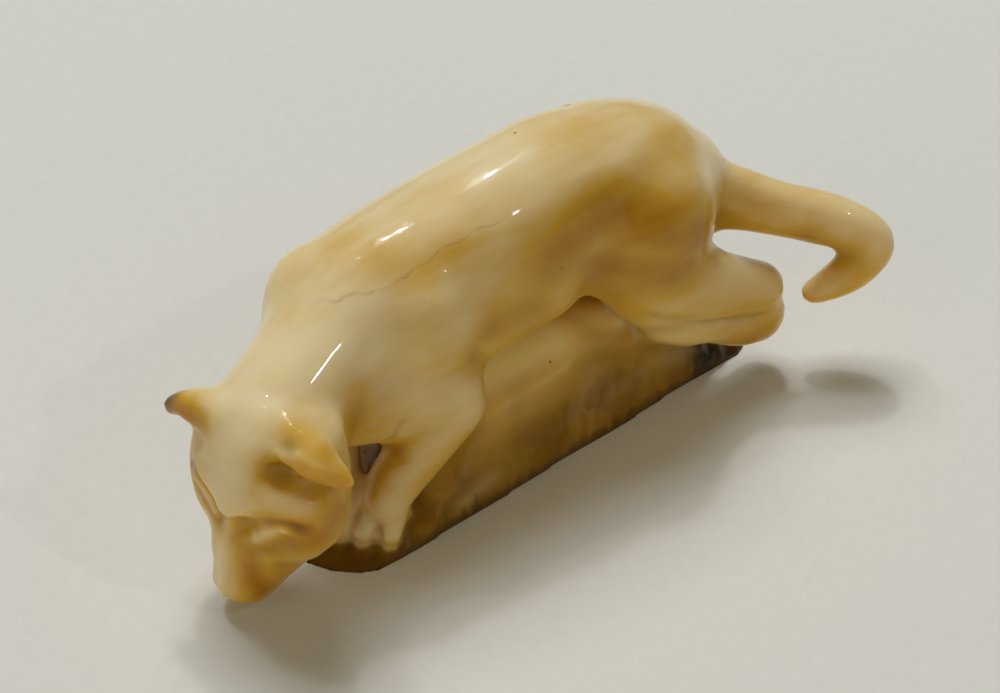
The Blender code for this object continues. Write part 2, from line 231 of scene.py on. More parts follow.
# %% [markdown]
# ## Fine carving
#
# Every cut is the same gesture: a path on the skin, a reach across it, and a depth, negative where the tool
# presses in and positive where the form is left standing. Eye sockets, ear cups and toes are all made so.


# %% Cutting along paths
def carve(cuts, to_frame=lambda p: p):
    """Moves the skin along its normals beside each cut's path."""
    for path, reach, height, squareness in cuts:
        points = read_points()
        move = height * nearness(to_frame(points), path, reach, squareness)
        write_points(points + normals() * move[:, None])


# %% Eyes, ears, muzzle and brow
HEAD_CUTS = (
    # path, reach across it, height, squareness
    # near eye: socket, straight brow edge, smooth almond of the eye
    (((5.6, 0.6, 2.6), (4.8, 2.2, 2.7), (4.0, 4.2, 2.3)), (1.7, 1.4, 1.8), -0.50, 2),
    (((4.3, -0.4, 3.6), (2.7, 1.7, 4.0), (1.8, 3.7, 3.5), (1.8, 5.2, 2.4)), (0.6, 0.9, 0.8), 0.26, 2),
    (((5.4, 1.7, 2.2), (4.4, 2.8, 2.6), (3.4, 4.0, 2.9)), (0.85, 0.80, 1.3), 0.50, 2),
    # far eye
    (((5.5, -1.9, 2.6), (4.4, -3.2, 2.4), (3.5, -4.8, 2.0)), (1.1, 1.0, 1.6), -0.38, 4),
    (((5.2, -2.4, 2.1), (4.5, -3.5, 2.2), (3.8, -4.6, 1.9)), (0.70, 0.65, 1.1), 0.42, 2),
    # near ear: broad cup, thin rim above it
    (((-4.4, 2.6, 3.2), (-4.4, 4.2, 2.4), (-3.6, 5.3, 1.4), (-2.9, 6.4, 1.1)), (1.0, 1.0, 1.0), 0.42, 2),
    (((-0.9, 2.4, 4.1), (-1.2, 4.0, 3.8), (-1.0, 5.2, 2.6), (-0.7, 6.2, 1.4)), (1.3, 1.2, 1.5), -0.70, 2),
    (((-3.5, 4.3, 4.1), (-3.3, 5.5, 3.7), (-2.7, 6.7, 2.3), (-2.2, 7.3, 1.4)), (0.36, 0.5, 0.5), 0.16, 2),
    # far ear: shallow cup
    (((-0.9, -4.4, 3.6), (-0.7, -6.0, 3.0), (-0.3, -7.4, 2.6)), (0.9, 1.2, 1.2), -0.20, 2),
    # bridge of the muzzle, its hollow side, and the cheek above it
    (((6.4, -0.6, 2.6), (8.5, -0.8, 2.1), (11.2, -0.6, 1.3)), (0.7, 0.55, 0.7), 0.14, 2),
    (((7.6, 1.9, 1.8), (9.8, 2.0, 0.8)), (1.6, 1.0, 1.2), -0.25, 2),
    (((7.4, -3.1, 1.6), (9.6, -2.8, 0.6)), (1.4, 0.9, 1.2), -0.22, 2),
    (((2.6, 5.6, 1.4), (4.9, 4.9, 0.6)), (1.0, 0.8, 1.0), 0.16, 2),
    # nose pad, nostrils and mouth
    (((12.6, -0.4, 0.2),), (1.0, 1.1, 0.7), 0.16, 3),
    (((12.9, 0.4, -0.1),), (0.8, 0.30, 0.30), -0.25, 2),
    (((12.9, -1.2, -0.1),), (0.8, 0.30, 0.30), -0.25, 2),
    (((12.9, -0.4, -0.6), (12.9, -0.4, -1.6)), (0.8, 0.22, 0.3), -0.18, 2),
    (((12.9, -0.4, -1.7), (12.0, 1.6, -2.2), (9.6, 2.8, -2.6)), (0.7, 0.7, 0.22), -0.20, 2),
    (((12.9, -0.4, -1.7), (12.0, -2.3, -2.2), (9.6, -3.3, -2.6)), (0.7, 0.7, 0.22), -0.20, 2),
)
carve(HEAD_CUTS, in_head)
print("cuts on the head:", len(HEAD_CUTS))

# %% [markdown]
# ## Paws, creases and the edges of the limbs
#
# Where a limb leaves the rock the carver cuts a narrow groove, so its edge reads crisply; the dark line in it
# is partly old dirt and partly painted shade. The same groove parts the toes and the hind foot from the shank
# above it.

# %% Cuts on the body and the rock
BODY_CUTS = (
    # hind foot's crease under the shank, both sides
    (
        ((7.0, -7.4, 12.8), (10.2, -8.0, 10.7), (13.6, -8.1, 8.7), (17.8, -8.5, 7.3)),
        (0.4, 1.0, 0.30), -0.10, 2,
    ),
    (((5.8, 7.4, 12.8), (9.0, 8.0, 10.7), (12.4, 8.1, 8.7), (16.6, 8.5, 7.3)), (0.4, 1.0, 0.30), -0.10, 2),
    # the dip behind the shoulder
    (((-8.6, 2.5, 24.8), (-9.2, -2.5, 24.2)), (3.2, 3.5, 3.0), -0.28, 2),
    # grooves that part the toes
    (((-16.2, -5.5, 3.9), (-17.5, -5.9, 2.4), (-18.3, -6.2, 1.1)), (0.5, 0.32, 0.6), -0.34, 2),
    (((-18.3, -4.1, 3.6), (-19.1, -4.35, 2.3), (-19.3, -4.4, 1.2)), (0.5, 0.32, 0.6), -0.32, 2),
    (((-18.6, -1.8, 3.4), (-20.5, -2.1, 1.4)), (0.5, 0.32, 0.6), -0.30, 2),
    # the foreleg's edges against the breast and against the rock
    (((-15.2, -6.7, 12.9), (-15.6, -6.4, 12.2), (-16.0, -5.9, 11.2)), (0.30, 0.34, 0.30), -0.22, 2),
    (
        ((-8.4, -6.9, 7.6), (-10.4, -7.2, 6.2), (-13.4, -7.4, 3.6), (-15.6, -7.6, 2.0)),
        (0.4, 0.8, 0.4), -0.28, 2,
    ),
    # the rock: broad hollow under the haunch, and a step under the patch of painted light
    (((6.4, -5.6, 6.6), (8.6, -6.0, 4.2)), (2.6, 1.6, 2.2), -0.40, 2),
    (((-6.0, -5.4, 8.6), (-2.5, -5.0, 8.4), (1.5, -4.9, 8.2)), (1.6, 0.9, 0.8), 0.28, 2),
    (((-3.5, -6.4, 4.6), (2.0, -6.2, 4.4)), (3.4, 1.4, 1.6), -0.35, 2),
)
carve(BODY_CUTS)
print("cuts on the body and the rock:", len(BODY_CUTS))

# %% [markdown]
# ## Which skin is rock
#
# Cat and rock are one piece, but the rock was left rough and stained dark, and the cat was polished. The
# rock's plain block is built again from its outline and its ridge, and every point of the skin is asked how
# far outside that block it lies: a point within a quarter of a millimetre belongs to the rock.

# %% The rock's block and the share of rock at each point
ROCK_OUTLINE = (
    # x and y, once round from the front left
    (-18.8, -7.2), (-12.0, -7.1), (-6.0, -6.9), (0.5, -6.5), (7.0, -6.4), (13.0, -5.9),
    (18.0, -5.8), (21.8, -5.4), (22.8, -1.5), (20.5, 4.6), (14.0, 6.2), (6.0, 6.7),
    (-3.0, 6.5), (-11.0, 6.2), (-17.5, 4.8), (-21.4, 1.0), (-22.4, -3.2),
)
RIDGE_X = (-18.0, -15.5, -11.0, -6.0, 2.0, 7.0, 11.0, 16.0, 21.0)
RIDGE_Z = (0.9, 1.3, 7.6, 11.0, 10.8, 10.6, 9.2, 4.8, 1.4)
SPINE_END, SPINE_Y = 17.0, -0.2
LEVELS = 14
ROUNDNESS, FRONT_ROUNDNESS = 0.72, 0.9
FRONT_FROM, FRONT_RUN = -6.0, 8.0
BELOW_GROUND = -2.0
STEPS = 6


def rock_block():
    """The rock as a closed block: its outline shrinks level by level towards its spine, up to the ridge."""
    around = (ROCK_OUTLINE[-1], *ROCK_OUTLINE, ROCK_OUTLINE[0], ROCK_OUTLINE[1])
    loop = smooth_path(around, STEPS)[STEPS : -2 * STEPS]
    mesh = bmesh.new()
    loops = []
    for level in range(-1, LEVELS):
        angle = math.pi / 2 * max(level, 0) / LEVELS
        rise = math.sin(angle) ** ROUNDNESS
        ring = []
        for x, y in loop:
            front = min(1.0, max(0.0, (FRONT_FROM - x) / FRONT_RUN))
            shrink = math.cos(angle) ** (ROUNDNESS + FRONT_ROUNDNESS * front)
            spine = min(SPINE_END, max(-SPINE_END, x))
            px = spine + (x - spine) * shrink
            py = SPINE_Y + (y - SPINE_Y) * shrink
            height = float(np.interp(px, RIDGE_X, RIDGE_Z)) * rise if level >= 0 else BELOW_GROUND
            ring.append(mesh.verts.new((px, py, height)))
        loops.append(ring)
    for lower, upper in zip(loops, loops[1:]):
        for k in range(len(loop)):
            j = (k + 1) % len(loop)
            mesh.faces.new((lower[k], lower[j], upper[j], upper[k]))
    mesh.faces.new(loops[-1])
    bmesh.ops.recalc_face_normals(mesh, faces=mesh.faces)
    return mesh


def ramp(values, low, high):
    """0 up to low, 1 from high on, eased between them. Low may be the larger."""
    t = np.clip((values - low) / (high - low), 0.0, 1.0)
    return t * t * (3 - 2 * t)


NOT_ROCK, ALL_ROCK = 0.60, 0.25
FAR_AWAY = 9.0
ABOVE_THE_ROCK = 13.0
block = rock_block()
finder = BVHTree.FromBMesh(block)
points = read_points()
outside = np.full(len(points), FAR_AWAY)
for i in np.flatnonzero(points[:, 2] < ABOVE_THE_ROCK):
    place, normal, _, distance = finder.find_nearest(Vector(points[i]))
    outside[i] = math.copysign(distance, (Vector(points[i]) - place).dot(normal))
block.free()
rock = ramp(outside, NOT_ROCK, ALL_ROCK)
print("rock share of the skin:", round(float(rock.mean()), 3))

# %% [markdown]
# ## Stain, dirt, and painted light and shade
#
# Such a carving was dyed with tea or smoke, then rubbed, so the colour stays in the hollows and on the broad
# flanks and is worn to cream on the crests. The stain is painted as soft brush marks on the skin, in the
# same way as the cuts, and dirt is put where the skin is hollow: where it lies below its own smoothed form;
# that dark is dirt and painted shade. Light and shade are painted in the same way: skin that faces down is
# darkened as shade, the crown and neck are lightened as well as worn, rock in the body's shade gets pale
# patches of painted light, and the rock under the overhanging hind foot is painted near black as shade.

# %% Brush marks on the head, each with its path, its reach and its strength
HEAD_STAINS = (
    (((-1.0, 2.2, 4.2), (-1.4, 4.2, 4.0), (-1.2, 5.6, 3.0), (-0.6, 6.4, 1.6)), (1.4, 1.2, 1.9), 1.0),
    (((6.4, -0.4, 2.8), (5.0, 1.4, 2.8), (3.2, 3.8, 3.0), (2.8, 5.2, 2.0)), (1.2, 1.2, 1.8), 0.85),
    (((6.8, 1.0, 2.0), (5.6, 3.4, 1.6), (4.2, 5.0, 1.4)), (1.1, 1.2, 1.4), 0.65),
    (((7.4, 1.4, 2.2), (9.6, 1.8, 1.2), (10.8, 2.2, 0.2)), (1.8, 1.2, 1.8), 0.75),
    (((8.4, 3.0, -0.6),), (2.2, 1.4, 2.2), 0.5),
    (((-1.6, -4.4, 4.0), (-1.4, -6.0, 3.6), (-1.0, -7.8, 3.0)), (1.2, 1.2, 1.6), 0.75),
    (((5.6, -1.8, 2.8), (4.6, -3.4, 2.6), (3.2, -5.2, 2.2)), (1.1, 1.0, 1.8), 0.9),
    (((3.6, 5.9, 0.8), (1.2, 6.3, 0.0)), (1.6, 1.4, 1.8), 0.75),
    (((-0.8, 2.8, 4.0), (-0.9, 4.2, 3.6), (-0.7, 5.8, 2.0)), (1.0, 0.9, 1.5), 1.45),
    (((-4.6, 2.4, 3.4), (-4.2, 4.6, 3.2), (-3.4, 6.2, 2.6), (-2.4, 7.0, 1.6)), (1.5, 1.4, 1.6), 0.42),
)
HEAD_WORN_AND_LIT = (
    (((5.4, 1.7, 2.2), (4.5, 2.7, 2.6), (3.4, 4.0, 2.9)), (0.66, 0.64, 1.3), 0.85),
    (((5.3, -2.3, 2.2), (4.5, -3.5, 2.3), (3.8, -4.6, 2.0)), (0.55, 0.55, 1.2), 0.8),
    # painted light as well as wear: the crown and forehead are lightened where light falls from above and the
    # left
    (((-5.0, -1.6, 3.0), (-2.6, -1.6, 4.3), (0.0, -0.8, 4.7), (2.2, -0.8, 4.2)), (2.4, 2.6, 2.6), 0.9),
    (((0.6, 2.4, 4.4), (0.8, 4.4, 3.2)), (1.0, 1.4, 1.6), 0.5),
    (((6.4, -0.6, 2.7), (9.0, -1.0, 1.8), (11.4, -0.8, 1.0)), (1.4, 0.7, 1.2), 0.7),
)
HEAD_DARKS = (
    (((-1.3, -8.6, 2.8),), (1.5, 1.0, 1.5), 1.0),
    (((-3.7, 3.2, 3.8),), (0.6, 0.8, 0.8), 0.30),
)
print("brush marks on the head:", len(HEAD_STAINS) + len(HEAD_WORN_AND_LIT) + len(HEAD_DARKS))

# %% Brush marks on the body and the rock
BODY_STAINS = (
    (((0.5, -6.0, 21.0), (4.8, -5.6, 22.2), (9.0, -7.2, 20.5), (12.4, -8.0, 18.4)), (3.4, 3.4, 2.8), 0.72),
    (((4.0, -6.0, 17.6), (8.5, -8.0, 16.6), (12.0, -8.4, 15.6)), (3.2, 3.4, 2.6), 0.55),
    (((-18.3, -5.6, 17.0), (-19.3, -5.9, 14.6)), (1.6, 2.0, 2.0), 0.55),
    (((-15.2, -5.6, 9.4), (-15.8, -5.2, 8.0), (-16.8, -4.9, 6.3)), (1.1, 0.9, 1.6), 0.8),
    (((-6.6, -6.2, 17.2), (-3.0, -6.2, 16.8)), (2.6, 2.4, 1.8), 0.45),
    (((-7.6, -6.6, 13.4), (-8.6, -6.4, 15.6)), (1.4, 2.0, 1.6), 0.6),
    (((15.6, -8.4, 6.0), (18.6, -8.8, 4.8)), (2.4, 2.2, 1.2), 0.6),
    (((24.4, -8.6, 12.8), (26.8, -10.8, 10.2)), (2.2, 2.4, 1.4), 0.5),
    (((-13.0, -1.0, 24.0), (-11.0, -3.4, 23.2), (-7.0, -3.6, 23.8)), (2.2, 1.6, 1.2), 0.3),
    (((6.0, -1.0, 26.4), (12.0, 0.0, 25.2)), (4.0, 3.2, 2.4), 0.35),
    (((20.0, -3.0, 17.0), (24.0, -5.0, 15.0)), (3.0, 3.0, 1.6), 0.35),
    (((10.0, -4.6, 23.6), (13.4, -3.4, 23.8), (15.6, -2.0, 23.2)), (2.8, 3.4, 2.6), 0.3),
    (((-17.6, -6.2, 18.6), (-16.6, -6.8, 15.6)), (2.0, 2.0, 2.6), 0.3),
)
BODY_WORN_AND_LIT = (
    (((17.4, -3.6, 21.2), (15.9, -6.0, 19.9), (15.2, -7.2, 18.0)), (0.7, 0.9, 1.2), 0.7),
    # painted light as well as wear: the top of the neck is lightened
    (((-22.4, -2.6, 20.2), (-19.6, -3.4, 20.6), (-16.4, -4.6, 20.0)), (2.6, 2.6, 2.4), 0.9),
    (((-16.4, -6.4, 4.6), (-18.2, -5.4, 2.6), (-19.6, -2.8, 2.4)), (1.8, 2.2, 1.6), 0.6),
)
# painted light: the first three marks lighten rock that lies in the body's shade, under the belly and below
# the hind foot's crease; the two faint low marks are lighter chips near the rim
ROCK_LIGHT_POOLS_AND_CHIPS = (
    (((-5.0, -3.6, 10.4), (-1.0, -3.4, 10.3), (1.6, -3.4, 10.2)), (2.6, 2.6, 1.9), 1.0),
    (((5.0, -3.0, 10.6), (8.0, -4.2, 9.4)), (1.6, 1.4, 0.8), 0.8),
    (((9.4, -7.2, 9.2), (12.4, -7.8, 7.6), (16.0, -8.4, 6.4), (18.8, -8.8, 5.8)), (1.6, 1.6, 0.9), 0.9),
    (((-9.6, -6.9, 1.8), (-7.2, -6.7, 2.2)), (1.2, 1.0, 0.9), 0.25),
    (((12.0, -5.6, 3.9), (15.2, -5.4, 3.1)), (1.6, 1.0, 0.9), 0.2),
)
# partly the rim's dark stain, partly painted shade: the rock is made near black under the overhanging hind
# foot
ROCK_STAIN_AND_SHADE_UNDER_FOOT = (
    (((16.8, -5.6, 1.6), (19.0, -6.2, 1.6), (21.6, -5.6, 1.4)), (1.5, 1.8, 1.8), 1.0),
)
FOOT_ON_ROCK = (
    (((8.6, -6.8, 7.4), (11.6, -7.2, 6.2), (14.4, -7.6, 5.4)), (2.4, 1.8, 1.5), 1.0),
)
ROCK_MARKS = len(ROCK_LIGHT_POOLS_AND_CHIPS) + len(ROCK_STAIN_AND_SHADE_UNDER_FOOT) + len(FOOT_ON_ROCK)
print("brush marks on the body:", len(BODY_STAINS) + len(BODY_WORN_AND_LIT), "and on the rock:", ROCK_MARKS)

# %% The marks as one number per point, weaker on the far side
FAR_SIDE_SHIFT, FAR_SIDE_Y, FAR_SIDE_SHARE = -1.0, 0.6, 0.8


def painted(points, marks, to_frame=lambda p: p, mirrored=False):
    """The strongest mark at each point; mirrored marks are put on the far side too."""
    at = to_frame(points)
    total = np.zeros(len(points))
    for path, reach, strength in marks:
        total = np.maximum(total, strength * nearness(at, path, reach))
        if mirrored:
            other = [(x + FAR_SIDE_SHIFT, FAR_SIDE_Y - y, z) for x, y, z in path]
            total = np.maximum(total, FAR_SIDE_SHARE * strength * nearness(at, other, reach))
    return total


SMOOTH_FRONT, ROUGH_BACK = -15.5, -11.5
stain = np.maximum(painted(points, BODY_STAINS, mirrored=True), painted(points, HEAD_STAINS, in_head))
worn_and_lit = np.maximum(painted(points, BODY_WORN_AND_LIT, mirrored=True), painted(points, HEAD_WORN_AND_LIT, in_head))
rough = rock * ramp(points[:, 0], SMOOTH_FRONT, ROUGH_BACK)
rock = np.maximum(rock, painted(points, FOOT_ON_ROCK, mirrored=True))
# dark: the black ear tip, and painted shade under the hind foot
dark = np.maximum(painted(points, HEAD_DARKS, in_head), painted(points, ROCK_STAIN_AND_SHADE_UNDER_FOOT, mirrored=True))
# pale: painted light on the shaded rock, and a few lighter chips
pale = painted(points, ROCK_LIGHT_POOLS_AND_CHIPS, mirrored=True)
print("mean stain:", round(float(stain.mean()), 3), "mean wear_and_light:", round(float(worn_and_lit.mean()), 3))

# %% Dirt and painted shade in the hollows, and all layers stored on the skin
HOLLOW_ROUNDS, DIRT_AND_SHADE_ROUNDS = 14, 5
CLEAN_UP_TO, DARKENED_FROM = 0.03, 0.14
DIRT_AND_SHADE_LOST_ON_ROCK = 0.5
pairs = neighbour_pairs()
softened = relaxed(points, pairs, HOLLOW_ROUNDS)
hollow = ((softened - points) * normals()).sum(axis=1)
# dirt and painted shade: darker where the skin lies below its own smoothed form
dirt_and_shade = relaxed(ramp(hollow, CLEAN_UP_TO, DARKENED_FROM)[:, None], pairs, DIRT_AND_SHADE_ROUNDS)[:, 0]
dirt_and_shade = dirt_and_shade * (1.0 - DIRT_AND_SHADE_LOST_ON_ROCK * rock)
print("dirt covers", round(float((dirt_and_shade > 0.5).mean()), 3))


def keep_on_skin(name, values):
    """Stores one number per point, for the relief and the stain to read."""
    layer = cat.data.attributes.new(name, "FLOAT", "POINT")
    layer.data.foreach_set("value", np.ascontiguousarray(values, dtype=np.float32))


LAYERS = {
    "rock": rock,
    "rough": rough,
    "stain": stain,
    "worn_and_lit": worn_and_lit,
    "dark": dark,
    "dirt_and_shade": dirt_and_shade,
    "pale": pale,
}
for name, values in LAYERS.items():
    keep_on_skin(name, values)
print("layers on the skin:", list(LAYERS))


# %% [markdown]
# ## Nodes
#
# One small function adds any node, sets its settings and fills its inputs, either with a value or with a
# link. Colours are written as they look on a screen and turned to the linear light that shaders use.

# %% A node adder and a colour reader
def add(tree, kind, inputs=(), **settings):
    """A node with its settings; each input gets a value, or a link where a socket is given."""
    node = tree.nodes.new(kind)
    for name, value in settings.items():
        setattr(node, name, value)
    for key, value in dict(inputs).items():
        if isinstance(value, bpy.types.NodeSocket):
            tree.links.new(value, node.inputs[key])
        else:
            node.inputs[key].default_value = value
    return node


def linear(code):
    """A screen colour such as "#E8D8B0" as linear red, green, blue and alpha."""
    shares = [int(code[i : i + 2], 16) / 255 for i in (1, 3, 5)]
    return (*[s / 12.92 if s <= 0.04045 else ((s + 0.055) / 1.055) ** 2.4 for s in shares], 1.0)


# %% [markdown]
# ## The chiselled rock
#
# The rock shows short upright gouges left by a small chisel, and a coarse broken grain between them. That
# relief follows a rule over a surface, so a small geometry-node tree makes it: noise drawn out along the
# height gives the gouges, finer noise the grain. The share of rough rock at each point scales both, and they
# fade with height, where hands have rubbed the rock. Slow, shallow waves keep the polished parts from
# looking turned on a lathe.

# %% The relief's sizes and its named inputs
RELIEF_SIZES = {
    "Gouge width": 1.0 * MM,
    "Gouge length": 3.4 * MM,
    "Gouge depth": 0.34 * MM,
    "Grain size": 0.70 * MM,
    "Grain depth": 0.30 * MM,
    "Rough below": 1.0 * MM,
    "Smooth above": 5.5 * MM,
    "Wave size": 3.4 * MM,
    "Wave depth": 0.16 * MM,
    "Seed": 4.0,
}
relief = bpy.data.node_groups.new("chiselled_rock", "GeometryNodeTree")
sockets = relief.interface
sockets.new_socket("Geometry", in_out="INPUT", socket_type="NodeSocketGeometry")
for label, value in RELIEF_SIZES.items():
    sockets.new_socket(label, in_out="INPUT", socket_type="NodeSocketFloat").default_value = value
sockets.new_socket("Material", in_out="INPUT", socket_type="NodeSocketMaterial")
sockets.new_socket("Geometry", in_out="OUTPUT", socket_type="NodeSocketGeometry")
given = add(relief, "NodeGroupInput").outputs
place = add(relief, "GeometryNodeInputPosition").outputs[0]
per_metre = {
    label: add(relief, "ShaderNodeMath", {0: 1.0, 1: given[label]}, operation="DIVIDE").outputs[0]
    for label in ("Gouge width", "Gouge length", "Grain size", "Wave size")
}
print("relief inputs:", list(RELIEF_SIZES))

# %% Gouges drawn out along the height
GOUGE_FROM, GOUGE_FULL = 0.42, 0.72
across, along = per_metre["Gouge width"], per_metre["Gouge length"]
stretch = add(relief, "ShaderNodeCombineXYZ", {"X": across, "Y": across, "Z": along}).outputs[0]
drawn = add(relief, "ShaderNodeVectorMath", {0: place, 1: stretch}, operation="MULTIPLY").outputs[0]
gouges = add(relief, "ShaderNodeTexNoise", {
    "Vector": drawn, "W": given["Seed"], "Scale": 1.0, "Detail": 1.0,
}, noise_dimensions="4D").outputs[0]
cut = add(relief, "ShaderNodeMapRange", {
    "Value": gouges, "From Min": GOUGE_FROM, "From Max": GOUGE_FULL, "To Min": 0.0, "To Max": -1.0,
}).outputs[0]
deep = add(relief, "ShaderNodeMath", {0: cut, 1: given["Gouge depth"]}, operation="MULTIPLY").outputs[0]

# %% Broken grain, faded with height and kept to the rough rock
GRAIN_LEVEL = 0.6
RUBBED_SHARE = 0.12
grain = add(relief, "ShaderNodeTexNoise", {
    "Vector": place, "W": given["Seed"], "Scale": per_metre["Grain size"], "Detail": 2.0,
}, noise_dimensions="4D").outputs[0]
coarse = add(relief, "ShaderNodeMath", {0: grain, 1: -GRAIN_LEVEL}, operation="ADD").outputs[0]
broken = add(relief, "ShaderNodeMath", {0: coarse, 1: given["Grain depth"]}, operation="MULTIPLY").outputs[0]
both = add(relief, "ShaderNodeMath", {0: deep, 1: broken}, operation="ADD").outputs[0]
over_ground = add(relief, "ShaderNodeSeparateXYZ", {0: place}).outputs["Z"]
fade = add(relief, "ShaderNodeMapRange", {
    "Value": over_ground, "From Min": given["Rough below"], "From Max": given["Smooth above"],
    "To Min": 1.0, "To Max": RUBBED_SHARE,
}).outputs[0]
graded = add(relief, "ShaderNodeMath", {0: both, 1: fade}, operation="MULTIPLY").outputs[0]
stored = add(relief, "GeometryNodeInputNamedAttribute", {"Name": "rough"}, data_type="FLOAT")
share = stored.outputs["Attribute"]
on_rock = add(relief, "ShaderNodeMath", {0: graded, 1: share}, operation="MULTIPLY").outputs[0]

# %% Slow waves everywhere, nothing moved at the ground, and the skin set in its new place
GROUND_KEPT, GROUND_FREE = 0.1 * MM, 0.7 * MM
waves = add(relief, "ShaderNodeTexNoise", {
    "Vector": place, "W": given["Seed"], "Scale": per_metre["Wave size"], "Detail": 0.0,
}, noise_dimensions="4D").outputs[0]
centred = add(relief, "ShaderNodeMath", {0: waves, 1: -0.5}, operation="ADD").outputs[0]
rubbed = add(relief, "ShaderNodeMath", {0: centred, 1: given["Wave depth"]}, operation="MULTIPLY").outputs[0]
total = add(relief, "ShaderNodeMath", {0: on_rock, 1: rubbed}, operation="ADD").outputs[0]
above = add(relief, "ShaderNodeMapRange", {
    "Value": over_ground, "From Min": GROUND_KEPT, "From Max": GROUND_FREE,
}).outputs[0]
lifted = add(relief, "ShaderNodeMath", {0: total, 1: above}, operation="MULTIPLY").outputs[0]
outward = add(relief, "GeometryNodeInputNormal").outputs[0]
offset = add(relief, "ShaderNodeVectorMath", {0: outward, "Scale": lifted}, operation="SCALE").outputs[0]
moved = add(relief, "GeometryNodeSetPosition", {"Geometry": given["Geometry"], "Offset": offset}).outputs[0]
real = add(relief, "GeometryNodeRealizeInstances", {"Geometry": moved}).outputs[0]
coated = add(relief, "GeometryNodeSetMaterial", {"Geometry": real, "Material": given["Material"]}).outputs[0]
add(relief, "NodeGroupOutput", {"Geometry": coated})
print("relief nodes:", len(relief.nodes))

# %% [markdown]
# ## Stained, polished ivory
#
# Ivory and tooth are dense and slightly see-through, so light goes in and comes out warmer close by. Handling
# gives them a soft gloss. The stain runs from cream over honey to dark brown; tiny pores hold specks of dirt,
# faint growth lines run along the body, and a hair crack crosses the flank. The rock was never polished.
# The blotches, lines and pores are noises at real sizes, and the painted layers say where each one shows.

# %% The ivory's colours
CREAM = linear("#F4E3B8")
HONEY = linear("#D8AC40")
AMBER = linear("#B88004")
RUSSET = linear("#8C5C00")
UMBER = linear("#5C3C00")
# the black of the ear tip, and also the near black of the painted shade under the hind foot
BLACK_OF_TIP_AND_SHADE = linear("#1A0C02")
RUBBED_BARK = linear("#DCAC44")
BARK = linear("#8E6400")
# the tone of the painted light on the rock, and of its lighter chips
PALE = linear("#FFE6A0")
CRACK_BROWN = linear("#8A5418")

ivory = bpy.data.materials.new("Stained and polished ivory")
ivory.use_nodes = True
tree = ivory.node_tree
shader = tree.nodes["Principled BSDF"]
where = add(tree, "ShaderNodeTexCoord").outputs["Object"]
height = add(tree, "ShaderNodeSeparateXYZ", {0: where}).outputs
up = add(tree, "ShaderNodeNewGeometry").outputs["Normal"]
facing = add(tree, "ShaderNodeSeparateXYZ", {0: up}).outputs["Z"]
layers = {
    name: add(tree, "ShaderNodeAttribute", attribute_name=name, attribute_type="GEOMETRY").outputs["Fac"]
    for name in LAYERS
}
print("ivory layers:", list(layers))

# %% Noises at real sizes
NOISES = {
    # size of a blotch in millimetres, detail, stretch along the body, shift
    "blotches": (4.5, 3.0, 1.0, 0.0),
    "clouds": (11.0, 2.0, 1.0, 7.0),
    "growth lines": (1.1, 3.0, 9.0, 3.0),
    "bark": (5.0, 4.0, 1.0, 11.0),
    "crack's course": (1.8, 1.5, 1.0, 2.0),
    "crack's gaps": (1.6, 2.0, 1.0, 6.0),
    "handling": (2.5, 3.0, 1.0, 9.0),
    "skin grain": (0.35, 2.0, 3.0, 0.0),
    "chips": (0.5, 4.0, 1.0, 4.0),
}
noises = {}
for name, (size, detail, stretch, shift) in NOISES.items():
    scale = (1.0 / (MM * size * stretch), 1.0 / (MM * size), 1.0 / (MM * size))
    mapped = add(tree, "ShaderNodeMapping", {"Vector": where, "Scale": scale, "Location": (shift,) * 3})
    texture = {"Vector": mapped.outputs[0], "Scale": 1.0, "Detail": detail}
    noises[name] = add(tree, "ShaderNodeTexNoise", texture).outputs[0]
print("noises:", list(noises))

# %% Soft edges: 0 at the first value, 1 at the second, eased between them
EASED = {"interpolation_type": "SMOOTHSTEP"}
EDGES = {
    # what is read, the value that gives 0, the value that gives 1
    # painted shade: skin that faces down takes more stain, darker beneath the body and the limbs
    "shade_facing_down": (facing, 0.75, -0.35),
    "blotches": (noises["blotches"], 0.35, 0.68),
    "clouds": (noises["clouds"], 0.35, 0.65),
    "growth lines": (noises["growth lines"], 0.38, 0.70),
    "bark": (noises["bark"], 0.40, 0.62),
    "low": (height["Z"], 11.5 * MM, 2.0 * MM),
    "rim": (height["Z"], 1.2 * MM, 0.2 * MM),
    "crack's start": (height["X"], -19.4 * MM, -17.0 * MM),
    "crack's end": (height["X"], -0.8 * MM, -6.0 * MM),
    "near side": (height["Y"], 0.6 * MM, -0.2 * MM),
}
soft = {}
for name, (read, none, full) in EDGES.items():
    limits = {"Value": read, "From Min": none, "From Max": full}
    soft[name] = add(tree, "ShaderNodeMapRange", limits, **EASED).outputs[0]
print("soft edges:", list(soft))


# %% Sums of weighted shares, and coats of colour
def weighted_sum(start, *parts):
    """The start value plus each socket times its weight."""
    total = start
    for socket, weight in parts:
        terms = {0: socket, 1: weight, 2: total}
        total = add(tree, "ShaderNodeMath", terms, operation="MULTIPLY_ADD").outputs[0]
    return total


def covered(under, *coats):
    """The colour under, with each coat's colour over it by the coat's share."""
    for share, code in coats:
        mix = add(tree, "ShaderNodeMix", {"Factor": share, "A": under, "B": code}, data_type="RGBA")
        under = mix.outputs[2]
    return under


# %% How deep the stain is: painted marks and an uneven wash with painted shade where the skin faces down, less where worn and where light is painted
LEAST_MARK, BLOTCHED_MARK = 0.75, 0.35
